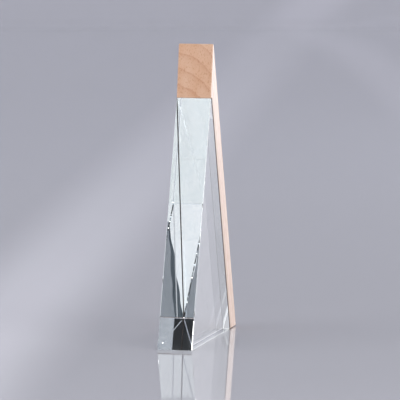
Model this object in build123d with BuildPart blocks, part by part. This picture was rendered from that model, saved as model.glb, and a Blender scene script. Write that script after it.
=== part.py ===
from build123d import *
import os

os.makedirs("parts", exist_ok=True)

# A standing peak-shaped award: a clear crystal wedge with a silvered rear face,
# bonded to a wooden bar that runs up the rear slope and ends in a point above it.
# The origin is the centre of the footprint. +Z is up, the front faces -Y, the
# broad triangular sides face -X and +X. All sizes are in millimetres.

# Overall size
award_height = 210.0
award_width = 25.0
base_depth = 133.0
lean_run = 0.327  # how far each sloping face leans in for each millimetre of rise

# Wooden bar
bar_thickness = 18.0  # square to the rear slope
bar_edge_ease = 0.5  # small bevel that takes the sharpness off the wood
top_land_depth = 2.0  # flat left on the pointed top end
cap_front_lean = 6.4  # how far the cut end leans back over its own height

# Layers in the joint, measured square to the rear slope
bond_thickness = 0.4
mirror_thickness = 0.2
layer_margin = 0.2  # the layers stop this far inside the crystal's bevelled joint face

# Crystal wedge
crystal_tip_height = 172.0
polish_bevel = 0.4

half_width = award_width / 2
rear_edge = base_depth / 2
# The sharp front edge lies this far ahead of the footprint, because the bevel takes it off.
front_edge = -base_depth / 2 - lean_run * polish_bevel

# A thickness measured square to the rear slope covers more than itself along the level.
slope_stretch = (1 + lean_run**2) ** 0.5
bar_depth = bar_thickness * slope_stretch
bond_depth = bond_thickness * slope_stretch
mirror_depth = mirror_thickness * slope_stretch

# Where each sloping plane meets the table
bar_front_foot = rear_edge - bar_depth
mirror_back_foot = bar_front_foot - bond_depth
crystal_back_foot = mirror_back_foot - mirror_depth

# The crystal's sharp apex, before its tip is cut level
crystal_base_depth = crystal_back_foot - front_edge
sharp_tip_height = crystal_base_depth / (2 * lean_run)
sharp_tip_reach = front_edge + lean_run * sharp_tip_height


def rear_slope(foot, height):
    """Point on a plane parallel to the rear slope that meets the table at foot."""
    return (foot - lean_run * height, height)


# Inset of the triangle by the bevel, so the bevels run evenly round both broad sides
inset_foot = polish_bevel * (slope_stretch + lean_run)
inset_front = (front_edge + inset_foot, polish_bevel)
inset_back = (crystal_back_foot - inset_foot, polish_bevel)
inset_tip = (sharp_tip_reach, sharp_tip_height - polish_bevel * slope_stretch / lean_run)

# Crystal wedge: a full triangle in the middle that steps in to the inset triangle at each side
with BuildPart() as crystal_body:
    bevel_start = half_width - polish_bevel
    with BuildSketch(Plane.YZ.offset(-bevel_start)) as middle_profile:
        with BuildLine() as middle_outline:
            Polyline(
                (front_edge, 0),
                (crystal_back_foot, 0),
                (sharp_tip_reach, sharp_tip_height),
                close=True,
            )
        make_face()
    extrude(amount=2 * bevel_start)
    with BuildSketch(Plane.YZ.offset(bevel_start)) as bevel_root:
        with BuildLine() as root_outline:
            Polyline(
                (front_edge, 0),
                (crystal_back_foot, 0),
                (sharp_tip_reach, sharp_tip_height),
                close=True,
            )
        make_face()
    with BuildSketch(Plane.YZ.offset(half_width)) as side_profile:
        with BuildLine() as side_outline:
            Polyline(inset_front, inset_back, inset_tip, close=True)
        make_face()
    loft(ruled=True)
    mirror(about=Plane.YZ)
    # The tip is ground level, and the two cross edges of the base are bevelled.
    tip_cut_height = sharp_tip_height - crystal_tip_height
    with BuildSketch(Plane.YZ.offset(-half_width)) as edge_cuts:
        with BuildLine() as tip_outline:
            Polyline(
                (sharp_tip_reach - tip_cut_height, crystal_tip_height),
                (sharp_tip_reach + tip_cut_height, crystal_tip_height),
                (sharp_tip_reach, sharp_tip_height + tip_cut_height),
                close=True,
            )
        make_face()
        with BuildLine() as front_cut_outline:
            Polyline(
                (front_edge + polish_bevel, 0),
                (front_edge + lean_run * polish_bevel, polish_bevel),
                (front_edge - polish_bevel, polish_bevel),
                (front_edge - polish_bevel, -polish_bevel),
                (front_edge + polish_bevel, -polish_bevel),
                close=True,
            )
        make_face()
        with BuildLine() as back_cut_outline:
            Polyline(
                (crystal_back_foot - polish_bevel, 0),
                (crystal_back_foot - lean_run * polish_bevel, polish_bevel),
                (crystal_back_foot + polish_bevel, polish_bevel),
                (crystal_back_foot + polish_bevel, -polish_bevel),
                (crystal_back_foot - polish_bevel, -polish_bevel),
                close=True,
            )
        make_face()
    extrude(amount=award_width, mode=Mode.SUBTRACT)

# Height range and half width shared by the two thin layers in the joint
layer_foot = polish_bevel + layer_margin
layer_top = crystal_tip_height - layer_margin
layer_half_width = half_width - polish_bevel - layer_margin

# Silvered layer with its backing paint, on the crystal's rear face
with BuildPart() as mirror_coat:
    with BuildSketch(Plane.YZ.offset(-layer_half_width)) as mirror_profile:
        with BuildLine() as mirror_outline:
            Polyline(
                rear_slope(crystal_back_foot, layer_foot),
                rear_slope(mirror_back_foot, layer_foot),
                rear_slope(mirror_back_foot, layer_top),
                rear_slope(crystal_back_foot, layer_top),
                close=True,
            )
        make_face()
    extrude(amount=2 * layer_half_width)

# Adhesive between the silvered layer and the wooden bar
with BuildPart() as bond_layer:
    with BuildSketch(Plane.YZ.offset(-layer_half_width)) as bond_profile:
        with BuildLine() as bond_outline:
            Polyline(
                rear_slope(mirror_back_foot, layer_foot),
                rear_slope(bar_front_foot, layer_foot),
                rear_slope(bar_front_foot, layer_top),
                rear_slope(mirror_back_foot, layer_top),
                close=True,
            )
        make_face()
    extrude(amount=2 * layer_half_width)

# Wooden bar: constant thickness up the rear slope, cut to a point above the crystal
with BuildPart() as wood_bar:
    top_back = rear_slope(rear_edge, award_height)
    top_front = (top_back[0] - top_land_depth, award_height)
    cap_foot = (top_front[0] - cap_front_lean, crystal_tip_height + layer_margin)
    with BuildSketch(Plane.YZ.offset(-half_width)) as bar_profile:
        with BuildLine() as bar_outline:
            Polyline(
                (bar_front_foot, 0),
                (rear_edge, 0),
                top_back,
                top_front,
                cap_foot,
                rear_slope(bar_front_foot, cap_foot[1]),
                close=True,
            )
        make_face()
    extrude(amount=award_width)
    # Every edge of the wood is eased, apart from the two cross edges that it stands on
    # and the inner corner over the crystal's tip.
    broad_side_edges = wood_bar.faces().filter_by(Axis.X).edges()
    top_cross_edges = wood_bar.faces().sort_by(Axis.Z)[-1].edges().filter_by(Axis.X)
    chamfer(broad_side_edges + top_cross_edges, length=bar_edge_ease)

crystal_body.part.label = "crystal_body"
mirror_coat.part.label = "mirror_coat"
bond_layer.part.label = "bond_layer"
wood_bar.part.label = "wood_bar"

export_step(crystal_body.part, "parts/crystal_body.step")
export_step(mirror_coat.part, "parts/mirror_coat.step")
export_step(bond_layer.part, "parts/bond_layer.step")
export_step(wood_bar.part, "parts/wood_bar.step")
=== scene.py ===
import math

import bpy
import numpy as np
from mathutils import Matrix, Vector


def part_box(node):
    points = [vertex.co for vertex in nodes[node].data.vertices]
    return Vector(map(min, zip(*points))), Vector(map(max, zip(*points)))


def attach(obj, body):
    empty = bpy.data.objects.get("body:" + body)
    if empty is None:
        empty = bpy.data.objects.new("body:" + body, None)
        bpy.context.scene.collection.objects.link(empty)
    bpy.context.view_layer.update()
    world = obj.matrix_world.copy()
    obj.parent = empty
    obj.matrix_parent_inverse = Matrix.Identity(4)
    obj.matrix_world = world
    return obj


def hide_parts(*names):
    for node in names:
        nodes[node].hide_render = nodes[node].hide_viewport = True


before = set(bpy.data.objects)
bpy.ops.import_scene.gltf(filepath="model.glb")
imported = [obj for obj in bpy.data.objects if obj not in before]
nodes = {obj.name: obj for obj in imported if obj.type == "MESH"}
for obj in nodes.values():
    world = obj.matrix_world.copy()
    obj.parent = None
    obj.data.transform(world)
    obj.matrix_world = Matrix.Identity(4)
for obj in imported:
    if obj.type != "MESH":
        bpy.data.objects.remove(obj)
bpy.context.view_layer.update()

# Everything is in metres. The award stands on z = 0, its sharp front edge towards -Y, the leaning
# wooden bar at the back. MM turns the sizes below, which are in millimetres, into metres.
MM = 0.001

crystal_low, crystal_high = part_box("crystal_body")
mirror_low, mirror_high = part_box("mirror_coat")

# The joint between crystal and bar leans forward by this angle from upright. The mirror layer gives it:
# its two ends are cut level, so its rise and its run, less one level thickness, are the slope's own.
LAYER = 0.2 * MM
LEVEL_STRETCH = 1.05  # a thickness square to the slope covers this much more along the level
JOINT_THICKNESS = 0.6 * MM  # silver and adhesive together
CONTACT = 0.05 * MM  # how far inside the glass the silver and the adhesive meet it
MARGIN = 0.2 * MM  # the layers stop this far short of the bevels
BEVEL = crystal_high[0] - mirror_high[0] - MARGIN
JOINT_RISE = mirror_high[2] - mirror_low[2]
JOINT_RUN = mirror_high[1] - mirror_low[1]
LEAN = math.atan2(JOINT_RUN - LAYER * LEVEL_STRETCH, JOINT_RISE)
# where the crystal's rear plane meets the table
JOINT_FOOT = mirror_high[1] - LAYER / math.cos(LEAN) + mirror_low[2] * math.tan(LEAN)


def joint_depth(square, height):
    """The y of a point that far behind the crystal's rear plane, square to it, at that height."""
    return JOINT_FOOT + square / math.cos(LEAN) - height * math.tan(LEAN)


# ---------------------------------------------------------------- node helpers


def linear(hex_colour):
    """Turns an sRGB hex colour into the linear RGBA values that shaders take."""
    channels = [int(hex_colour[i : i + 2], 16) / 255 for i in (0, 2, 4)]
    return [c / 12.92 if c <= 0.04045 else ((c + 0.055) / 1.055) ** 2.4 for c in channels] + [1.0]


def new_material(name):
    """An empty node material."""
    material = bpy.data.materials.new(name)
    material.use_nodes = True
    material.node_tree.nodes.clear()
    return material


def node(tree, kind, settings=(), **inputs):
    """Adds a node, sets its properties and gives each input (spaces written as _) a value or a link.
    The setting "stops" holds (position, hex colour) pairs for a colour ramp."""
    made = tree.nodes.new(kind)
    for key, value in dict(settings).items():
        if key != "stops":
            setattr(made, key, value)
            continue
        elements = made.color_ramp.elements
        while len(elements) < len(value):
            elements.new(0.5)
        for element, (position, colour) in zip(elements, value):
            element.position = position
            element.color = linear(colour)
    for key, value in inputs.items():
        name = key.replace("_", " ")
        socket = made.inputs[int(name[1:])] if name[0] == "n" and name[1:].isdigit() else made.inputs[name]
        if isinstance(value, bpy.types.NodeSocket):
            tree.links.new(value, socket)
        else:
            socket.default_value = value
    return made


def give(obj, material):
    """Puts one material in place of whatever the object carries."""
    obj.data.materials.clear()
    obj.data.materials.append(material)


# ---------------------------------------------------------------- finishes


def optical_crystal():
    """Cast and polished optical crystal: near colourless, with a faint aqua that shows only in long
    light paths, and the faintest cloudiness left by the felt wheel, in patches about 15 mm wide."""
    material = new_material("polished optical crystal")
    tree = material.node_tree
    place = node(tree, "ShaderNodeTexCoord").outputs["Object"]
    clouding = node(tree, "ShaderNodeTexNoise", Vector=place, Scale=1 / (15 * MM), Detail=2.0)
    tint = node(
        tree,
        "ShaderNodeValToRGB",
        {"stops": [(0.3, "FCFEFE"), (0.7, "FFFFFF")]},
        Fac=clouding.outputs["Fac"],
    ).outputs["Color"]
    glass = node(
        tree,
        "ShaderNodeBsdfPrincipled",
        Base_Color=tint,
        Transmission_Weight=1.0,
        Roughness=0.0,
        IOR=1.52,
    )
    aqua = node(tree, "ShaderNodeVolumeAbsorption", Color=linear("79CBEA"), Density=0.3)
    node(tree, "ShaderNodeOutputMaterial", Surface=glass.outputs[0], Volume=aqua.outputs[0])
    return material


def silvering():
    """Silver deposited on the lapped rear face of the crystal: a bright mirror with a faint mottle,
    seen only through the glass."""
    material = new_material("silvering on lapped glass")
    tree = material.node_tree
    place = node(tree, "ShaderNodeTexCoord").outputs["Object"]
    mottle = node(tree, "ShaderNodeTexNoise", Vector=place, Scale=1 / (1.6 * MM), Detail=3.0)
    colour = node(
        tree,
        "ShaderNodeValToRGB",
        {"stops": [(0.35, "E9EDF0"), (0.65, "FBFCFC")]},
        Fac=mottle.outputs["Fac"],
    ).outputs["Color"]
    silver = node(tree, "ShaderNodeBsdfPrincipled", Base_Color=colour, Metallic=1.0, Roughness=0.0)
    node(tree, "ShaderNodeOutputMaterial", Surface=silver.outputs[0])
    return material


def brown_adhesive():
    """Cured brown wood adhesive in the joint: dark, waxy, slightly uneven."""
    material = new_material("cured brown adhesive")
    tree = material.node_tree
    place = node(tree, "ShaderNodeTexCoord").outputs["Object"]
    lumps = node(tree, "ShaderNodeTexNoise", Vector=place, Scale=1 / (3 * MM), Detail=2.0)
    colour = node(
        tree,
        "ShaderNodeValToRGB",
        {"stops": [(0.3, "2A1B14"), (0.7, "3E2A1E")]},
        Fac=lumps.outputs["Fac"],
    ).outputs["Color"]
    swell = node(tree, "ShaderNodeBump", Height=lumps.outputs["Fac"], Strength=0.3, Distance=0.1 * MM)
    resin = node(
        tree,
        "ShaderNodeBsdfPrincipled",
        Base_Color=colour,
        Roughness=0.85,
        IOR=1.5,
        Normal=swell.outputs["Normal"],
    )
    node(tree, "ShaderNodeOutputMaterial", Surface=resin.outputs[0])
    return material


def lacquered_beech():
    """Pale steamed beech, planed and given a thin satin lacquer. Growth rings run along the bar
    5.5 mm apart, short darker ray flecks lie along the grain, and fine pores roughen the lacquer."""
    ring_spacing = 5.5 * MM
    pith = (-34 * MM, -52 * MM)  # where the tree's centre lay, across and square to the bar
    material = new_material("satin lacquered beech")
    tree = material.node_tree
    place = node(tree, "ShaderNodeTexCoord").outputs["Object"]
    # the bar's own frame: x across, y square to the slope, z along the grain
    grain = node(tree, "ShaderNodeMapping", Vector=place, Rotation=(-LEAN, 0, 0)).outputs["Vector"]
    sway = node(
        tree,
        "ShaderNodeTexNoise",
        Vector=node(tree, "ShaderNodeMapping", Vector=grain, Scale=(1, 1, 0.22)).outputs["Vector"],
        Scale=1 / (16 * MM),
        Detail=2.0,
    )
    # rings: distance from the pith, swayed by up to a ring
    swayed = node(
        tree,
        "ShaderNodeVectorMath",
        {"operation": "MULTIPLY_ADD"},
        n0=sway.outputs["Color"],
        n1=(3 * MM, 3 * MM, 0),
        n2=node(tree, "ShaderNodeMapping", Vector=grain, Location=(-pith[0], -pith[1], 0)).outputs["Vector"],
    )
    rings = node(
        tree,
        "ShaderNodeTexWave",
        {"wave_type": "RINGS", "rings_direction": "Z", "wave_profile": "SAW"},
        Vector=swayed.outputs["Vector"],
        Scale=2 * math.pi / (20 * ring_spacing),
        Distortion=0.6,
        Detail=2.0,
        Detail_Scale=1.5,
    )
    # pale early wood darkens to the thin line of late wood at the end of each year
    year = [(0.0, "E2BCA0"), (0.5, "E0BA9E"), (0.85, "DAB194"), (0.95, "D4A78A"), (1.0, "DDB69A")]
    ring_colour = node(
        tree,
        "ShaderNodeValToRGB",
        {"stops": year},
        Fac=rings.outputs["Fac"],
    ).outputs["Color"]
    # ray flecks: 0.35 mm wide and about 3 mm long on the faces
    fleck_noise = node(
        tree,
        "ShaderNodeTexNoise",
        Vector=node(tree, "ShaderNodeMapping", Vector=grain, Scale=(1, 1, 0.12)).outputs["Vector"],
        Scale=1 / (0.7 * MM),
        Detail=1.0,
    )
    flecks = node(
        tree,
        "ShaderNodeValToRGB",
        {"stops": [(0.55, "FFFFFF"), (0.72, "E4D0C0")]},
        Fac=fleck_noise.outputs["Fac"],
    ).outputs["Color"]
    # broad warm and pale patches
    patch_noise = node(
        tree,
        "ShaderNodeTexNoise",
        Vector=node(tree, "ShaderNodeMapping", Vector=grain, Scale=(1, 1, 0.3)).outputs["Vector"],
        Scale=1 / (9 * MM),
        Detail=2.0,
    )
    patches = node(
        tree,
        "ShaderNodeValToRGB",
        {"stops": [(0.3, "F6ECE2"), (0.7, "FFFFFF")]},
        Fac=patch_noise.outputs["Fac"],
    ).outputs["Color"]
    flecked = node(
        tree,
        "ShaderNodeMix",
        {"data_type": "RGBA", "blend_type": "MULTIPLY"},
        n0=0.8,
        n6=ring_colour,
        n7=flecks,
    )
    colour = node(
        tree,
        "ShaderNodeMix",
        {"data_type": "RGBA", "blend_type": "MULTIPLY"},
        n0=1.0,
        n6=flecked.outputs[2],
        n7=patches,
    )
    # darkening beside the joint, partly adhesive stain in the grain and partly painted shade of the groove:
    # full for 1.4 mm, faded out at 3 mm, and only below the crystal's tip; the wood's face lies the two
    # layers behind the crystal
    joint_face = JOINT_FOOT * math.cos(LEAN) + JOINT_THICKNESS
    stain_and_shade_ramp = node(
        tree,
        "ShaderNodeMapRange",
        Value=node(tree, "ShaderNodeSeparateXYZ", Vector=grain).outputs["Y"],
        From_Min=joint_face + 1.4 * MM,
        From_Max=joint_face + 3 * MM,
        To_Min=0.85,
        To_Max=0.0,
    )
    height = node(tree, "ShaderNodeSeparateXYZ", Vector=place).outputs["Z"]
    beside = node(tree, "ShaderNodeMath", {"operation": "LESS_THAN"}, n0=height, n1=crystal_high[2])
    stain_and_painted_shade = node(tree, "ShaderNodeMath", {"operation": "MULTIPLY"}, n0=stain_and_shade_ramp.outputs[0], n1=beside.outputs[0])
    # darken the wood beside the joint: adhesive stain together with painted groove shade
    colour = node(
        tree,
        "ShaderNodeMix",
        {"data_type": "RGBA"},
        n0=stain_and_painted_shade.outputs[0],
        n6=colour.outputs[2],
        n7=linear("5E4030"),
    )
    pores = node(
        tree, "ShaderNodeBump", Height=fleck_noise.outputs["Fac"], Strength=0.25, Distance=0.04 * MM
    )
    gloss = node(tree, "ShaderNodeMapRange", Value=rings.outputs["Fac"], To_Min=0.34, To_Max=0.42)
    # the darkened strip beside the joint takes less lacquer, so it keeps less of the sheen
    coat = node(tree, "ShaderNodeMapRange", Value=stain_and_painted_shade.outputs[0], To_Min=0.6, To_Max=0.0)
    sheen = node(tree, "ShaderNodeMapRange", Value=stain_and_painted_shade.outputs[0], To_Min=0.5, To_Max=0.05)
    wood = node(
        tree,
        "ShaderNodeBsdfPrincipled",
        Base_Color=colour.outputs[2],
        Specular_IOR_Level=sheen.outputs[0],
        Roughness=gloss.outputs[0],
        IOR=1.5,
        Coat_Weight=coat.outputs[0],
        Coat_Roughness=0.22,
        Normal=pores.outputs["Normal"],
    )
    node(tree, "ShaderNodeOutputMaterial", Surface=wood.outputs[0])
    return material


# ---------------------------------------------------------------- the award's pieces


def grid_faces(rows, columns, wrap):
    """Quads of a grid of points numbered row by row; with wrap, the last column joins the first."""
    index = np.arange(rows * columns).reshape(rows, columns)
    if wrap:
        index = np.concatenate([index, index[:, :1]], axis=1)
    return np.stack([index[:-1, :-1], index[:-1, 1:], index[1:, 1:], index[1:, :-1]], -1).reshape(-1, 4)


def joint_piece(name, points, faces, material, node_name):
    """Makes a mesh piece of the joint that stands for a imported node, smooth apart from its sharp edges."""
    mesh = bpy.data.meshes.new(name)
    mesh.from_pydata(points.tolist(), [], faces)
    mesh.shade_smooth()
    mesh.set_sharp_from_angle(angle=math.radians(30))
    piece = bpy.data.objects.new(name, mesh)
    bpy.context.scene.collection.objects.link(piece)
    give(piece, material)
    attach(piece, "root")
    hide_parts(node_name)


def mirror_face():
    """The silvered layer as a closed slab. Its front is a grid over (across, up the slope): the plane of
    the crystal's rear face plus three crossing sine waves 0.1 to 2 micrometres high and 14 to 60 mm long,
    which gives the slow waviness of a lapped face. It sits 0.05 mm inside the glass, in optical contact,
    and its back is the same grid, flat, one layer thickness behind."""
    reach = MARGIN - 0.02 * MM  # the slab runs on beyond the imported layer, almost to the bevels
    across = np.linspace(mirror_low[0] - reach, mirror_high[0] + reach, 25)
    height = np.linspace(mirror_low[2] - reach, mirror_high[2] + reach, 181)
    x, z = np.meshgrid(across, height)
    waves = 1e-6 * (
        2.0 * np.sin(2 * np.pi * (z / (60 * MM) + x / (90 * MM)))
        + 0.5 * np.sin(2 * np.pi * (z / (23 * MM) - x / (31 * MM)) + 1.1)
        + 0.1 * np.sin(2 * np.pi * (z / (14 * MM) + x / (17 * MM)) + 2.3)
    )
    front = np.stack([x, joint_depth(-CONTACT, z) + waves, z], axis=-1).reshape(-1, 3)
    back = np.stack([x, joint_depth(LAYER - CONTACT, z), z], axis=-1).reshape(-1, 3)
    front_faces = grid_faces(len(height), len(across), False)
    back_faces = front_faces[:, ::-1] + len(front)
    # the rim runs once round the grid, so that each rim face joins a front edge to its back edge
    index = np.arange(len(front)).reshape(x.shape)
    rim = np.concatenate([index[0, :], index[1:, -1], index[-1, -2::-1], index[-2:0:-1, 0]])
    following = np.roll(rim, -1)
    rim_faces = np.stack([following, rim, rim + len(front), following + len(front)], -1)
    faces = np.concatenate([front_faces, back_faces, rim_faces]).tolist()
    points = np.concatenate([front, back])
    joint_piece("mirror_face", points, faces, silvering(), "mirror_coat")


def adhesive_bead():
    """The adhesive as it cures in the joint: a thin flat layer behind the mirror that swells out into the
    groove between the crystal's bevel and the eased edge of the wood on each side. The profile (across,
    square to the slope) is carried up the slope; its outer skin is hollowed by a half sine, and swells
    and shrinks by up to 0.03 mm along the way. It wets the bevels a few hundredths of a millimetre inside
    the glass."""
    half_width = crystal_high[0]
    ease = 0.5 * MM  # the small bevel on the wood's edges
    hair = 0.01 * MM
    overlap = 0.03 * MM  # how far it reaches into the silver and into the glass beside it
    hollow = 0.06 * MM  # how deep its outer skin is hollowed, and how far that starts from the bevel's end
    skin_short = 0.2 * MM  # the skin is this much shorter than the groove
    wave_height = 0.015 * MM
    skin_turn = np.linspace(0, 1, 7)
    skin_x = half_width - CONTACT - hollow * np.sin(math.pi * skin_turn)
    skin_square = -BEVEL + hollow + skin_turn * (BEVEL + JOINT_THICKNESS + ease - skin_short)
    root_x = [mirror_high[0], half_width - BEVEL - hair, half_width - BEVEL, half_width - CONTACT]
    root_square = [LAYER - overlap, LAYER - overlap, -overlap, -BEVEL - hair]
    right_x = np.concatenate([root_x, skin_x, [half_width - ease]])
    right_square = np.concatenate([root_square, skin_square, [JOINT_THICKNESS - hair]])
    profile_x = np.concatenate([right_x, -right_x[::-1]])
    profile_square = np.concatenate([right_square, right_square[::-1]])
    height = np.linspace(mirror_low[2], mirror_high[2], 121)
    on_skin = (np.abs(profile_x) > half_width - skin_short) & (profile_square > 0)
    swell = wave_height * (np.sin(height / (7 * MM)) + np.sin(height / (17 * MM) + 1.0))
    x = profile_x + np.sign(profile_x) * on_skin * swell[:, None]
    x = np.clip(x, -half_width + hair, half_width - hair)
    z = np.broadcast_to(height[:, None], x.shape)
    points = np.stack([x, joint_depth(profile_square, z), z], axis=-1).reshape(-1, 3)
    count = len(profile_x)
    faces = grid_faces(len(height), count, True).tolist()
    faces.append(list(range(count))[::-1])
    faces.append(list(range(len(points) - count, len(points))))
    joint_piece("adhesive_bead", points, faces, brown_adhesive(), "bond_layer")


give(nodes["crystal_body"], optical_crystal())
give(nodes["wood_bar"], lacquered_beech())
mirror_face()
adhesive_bead()


# ---------------------------------------------------------------- studio


def pale_acrylic():
    """Pale violet-grey glossy acrylic: a diffuse sheet under a clear polished face. Light is painted into the
    sheet's colour:
    a painted falloff leaves it darker near the award and paler away from it, and one painted soft bar of
    light lies across it from the far right to the near left."""
    material = new_material("pale glossy acrylic")
    tree = material.node_tree
    place = node(tree, "ShaderNodeTexCoord").outputs["Object"]
    reach = node(tree, "ShaderNodeVectorMath", {"operation": "LENGTH"}, n0=place)
    # painted light falloff: the sheet's colour darkens near the award and pales far from it
    painted_falloff = node(tree, "ShaderNodeMapRange", Value=reach.outputs["Value"], From_Min=0.2, From_Max=3.6)
    sheet_with_painted_falloff = node(
        tree,
        "ShaderNodeValToRGB",
        {"stops": [(0.0, "B4B5BC"), (0.3, "CBCCD4"), (1.0, "E0E1E9")]},
        Fac=painted_falloff.outputs[0],
    ).outputs["Color"]
    # Distance from the middle plane of the painted bar of light, turned into a soft hump of painted light.
    # The plane is tilted, so that from the camera the bar runs straight from the floor up the wall; from
    # elsewhere it does not.
    bar_line = node(
        tree,
        "ShaderNodeMapping",
        {"vector_type": "TEXTURE"},
        Vector=place,
        Location=(-0.35, 1.25, 0),
        Rotation=(0, math.radians(45), math.radians(9)),
        Scale=(0.06, 1, 1),
    )
    across = node(tree, "ShaderNodeSeparateXYZ", Vector=bar_line.outputs["Vector"]).outputs["X"]
    off_line = node(tree, "ShaderNodeMath", {"operation": "ABSOLUTE"}, n0=across)
    painted_light_bar = node(
        tree,
        "ShaderNodeMapRange",
        {"interpolation_type": "SMOOTHSTEP"},
        Value=off_line.outputs[0],
        From_Min=0.1,
        From_Max=1.0,
        To_Min=0.75,
        To_Max=0.0,
    )
    # mix the painted bar of light, in a near-white light colour, into the sheet's colour
    sheet_with_painted_light = node(
        tree,
        "ShaderNodeMix",
        {"data_type": "RGBA"},
        n0=painted_light_bar.outputs[0],
        n6=sheet_with_painted_falloff,
        n7=linear("F6F6FF"),
    )
    sheet = node(tree, "ShaderNodeBsdfPrincipled", Base_Color=sheet_with_painted_light.outputs[2], Roughness=0.02, IOR=1.45)
    node(tree, "ShaderNodeOutputMaterial", Surface=sheet.outputs[0])
    return material


def cyclorama(material):
    """A round studio floor that curves up into a wall all round, so that no horizon shows from any side:
    the profile (radius, height) is a straight floor, a quarter circle and a straight wall, and it is
    carried round the full circle. The floor lies a hair below z = 0, which keeps the thin gap of air
    that a polished base has over a table."""
    floor_radius, curve_radius, wall_height = 3.4, 1.2, 2.6
    gap = 0.2 * MM
    turn = np.linspace(0, math.pi / 2, 25)
    wall_radius = floor_radius + curve_radius
    radius = np.concatenate([[0.0, 0.6, 1.6], floor_radius + curve_radius * np.sin(turn), [wall_radius]])
    height = np.concatenate([[0.0, 0.0, 0.0], curve_radius * (1 - np.cos(turn)), [wall_height]]) - gap
    sides = 96
    angle = np.linspace(0, 2 * math.pi, sides, endpoint=False)
    ring = np.stack(
        [
            radius[1:, None] * np.cos(angle),
            radius[1:, None] * np.sin(angle),
            np.broadcast_to(height[1:, None], (len(radius) - 1, sides)),
        ],
        axis=-1,
    ).reshape(-1, 3)
    points = np.concatenate([[[0.0, 0.0, -gap]], ring])
    index = 1 + np.arange((len(radius) - 1) * sides).reshape(-1, sides)
    turned = np.roll(index, -1, axis=1)
    quads = np.stack([index[:-1], index[1:], turned[1:], turned[:-1]], -1).reshape(-1, 4)
    fan = np.stack([np.zeros(sides, int), index[0], turned[0]], -1)
    mesh = bpy.data.meshes.new("studio_floor")
    mesh.from_pydata(points.tolist(), [], quads.tolist() + fan.tolist())
    mesh.shade_smooth()
    obj = bpy.data.objects.new("studio_floor", mesh)
    bpy.context.scene.collection.objects.link(obj)
    obj.data.materials.append(material)


def card(name, corners, colour):
    """A flat matt card of the studio, given by its corners: it shades a softbox or shows in the glass."""
    material = new_material(name)
    tree = material.node_tree
    shader = node(tree, "ShaderNodeBsdfDiffuse", Color=linear(colour))
    node(tree, "ShaderNodeOutputMaterial", Surface=shader.outputs[0])
    mesh = bpy.data.meshes.new(name)
    mesh.from_pydata(corners, [], [tuple(range(len(corners)))])
    obj = bpy.data.objects.new(name, mesh)
    bpy.context.scene.collection.objects.link(obj)
    obj.data.materials.append(material)


def softbox(name, place, target, size, radiance, colour="FFFFFF"):
    """A rectangular soft light. A Lambert panel of that radiance gives off radiance x pi x area watts."""
    light = bpy.data.lights.new(name, "AREA")
    light.shape = "RECTANGLE"
    light.size, light.size_y = size
    light.energy = radiance * math.pi * size[0] * size[1]
    light.color = linear(colour)[:3]
    obj = bpy.data.objects.new(name, light)
    bpy.context.scene.collection.objects.link(obj)
    obj.location = place
    obj.rotation_euler = (Vector(target) - Vector(place)).to_track_quat("-Z", "Y").to_euler()


def toward(azimuth, elevation, distance, start=(0, 0, 0.06)):
    """The point that far from start, at an azimuth from the front (+X side positive) and an elevation."""
    a, e = math.radians(azimuth), math.radians(elevation)
    along = Vector((math.sin(a) * math.cos(e), -math.cos(a) * math.cos(e), math.sin(e)))
    return Vector(start) + along * distance


cyclorama(pale_acrylic())

MIDDLE = (0, 0, 0.1)
softbox("overhead_softbox", (0.2, -0.55, 1.32), (0.2, -0.55, 0), (1.7, 1.3), 0.42, "F4F6F6")
softbox("front_left_softbox", toward(-62, 17, 1.6), MIDDLE, (1.3, 0.9), 3.3, "FFFBF6")
softbox("front_right_softbox", toward(62, 17, 1.6), MIDDLE, (1.3, 0.9), 3.3, "FFFBF6")
softbox("back_right_softbox", (1.0, 1.75, 0.25), MIDDLE, (1.0, 0.9), 4.2, "F4FAFF")
softbox("side_sheen_softbox", (0.43, 1.75, 0.17), MIDDLE, (0.3, 0.34), 0.8)

# a thin light pad under the crystal's base, reaching a little past its bevels, fills the glass from below
PAD_REACH = 1.5 * MM
pad_size = [crystal_high[i] - crystal_low[i] + 2 * PAD_REACH for i in (0, 1)]
pad_centre = [(crystal_high[i] + crystal_low[i]) / 2 for i in (0, 1)]
softbox("light_pad", (*pad_centre, -0.1 * MM), (*pad_centre, 1), pad_size, 0.77, "F4F7F6")

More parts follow.
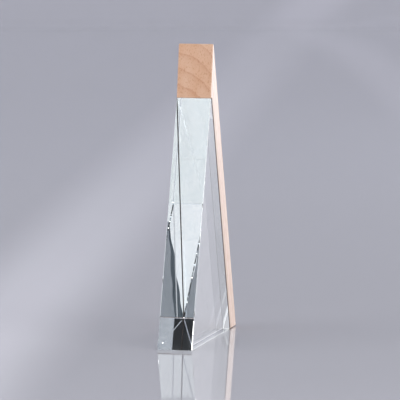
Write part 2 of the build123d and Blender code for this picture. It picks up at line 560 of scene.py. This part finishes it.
# upright cards in front, above the camera, that show in the glass: a black one and a silver-grey one
CARD_PLACE, CARD_FOOT, CARD_TOP, CARD_NEAR, CARD_FAR = -1.5, 0.55, 1.05, 0.22, 0.70
for name, side, colour in (("black_card", 1, "0C0E10"), ("grey_card", -1, "C2C5C8")):
    left, right = sorted((side * CARD_NEAR, side * CARD_FAR))
    card(
        name,
        [
            (left, CARD_PLACE, CARD_FOOT),
            (right, CARD_PLACE, CARD_FOOT),
            (right, CARD_PLACE, CARD_TOP),
            (left, CARD_PLACE, CARD_TOP),
        ],
        colour,
    )

# plain straight-sided flags just under the overhead softbox, a grey and a dark one on each side
FLAG = 1.2
GREY = "93979B"
DARK = "3D4850"
card(
    "left_grey_flag",
    [(-0.29, -0.48, FLAG), (-0.32, -0.58, FLAG), (-0.35, -0.58, FLAG), (-0.35, -0.48, FLAG)],
    GREY,
)
card(
    "left_dark_flag",
    [(-0.28, -0.48, FLAG), (-0.29, -0.51, FLAG), (-0.32, -0.58, FLAG), (-0.29, -0.48, FLAG)],
    DARK,
)
card(
    "right_grey_flag",
    [(0.28, -0.47, FLAG), (0.305, -0.47, FLAG), (0.305, -0.62, FLAG), (0.28, -0.62, FLAG)],
    GREY,
)
card(
    "right_dark_flag",
    [(0.305, -0.48, FLAG), (0.325, -0.53, FLAG), (0.34, -0.53, FLAG), (0.34, -0.48, FLAG)],
    DARK,
)

world = bpy.data.worlds.new("studio")
bpy.context.scene.world = world
world.use_nodes = True
world.node_tree.nodes["Background"].inputs[0].default_value = linear("C0C0C4")
world.node_tree.nodes["Background"].inputs[1].default_value = 1.13

# ---------------------------------------------------------------- camera

camera_data = bpy.data.cameras.new("camera")
camera = bpy.data.objects.new("camera", camera_data)
bpy.context.scene.collection.objects.link(camera)
bpy.context.scene.camera = camera
azimuth = math.radians(13.87)
elevation = math.radians(6.12)
distance = 2.853
aim = Vector((0, 0.0078, 0.0977))
level = math.cos(elevation)
back = Vector((math.sin(azimuth) * level, -math.cos(azimuth) * level, math.sin(elevation)))
camera.location = aim + back * distance
camera.rotation_mode = "QUATERNION"
camera.rotation_quaternion = (-back).to_track_quat("-Z", "Y")
camera_data.lens = 360
camera_data.clip_end = 50

bpy.context.scene.view_settings.view_transform = "Standard"
# light is mirrored to and fro many times inside the wedge before it leaves
cycles = bpy.context.scene.cycles
BOUNCES = 40
cycles.max_bounces = BOUNCES
cycles.glossy_bounces = BOUNCES
cycles.transmission_bounces = BOUNCES
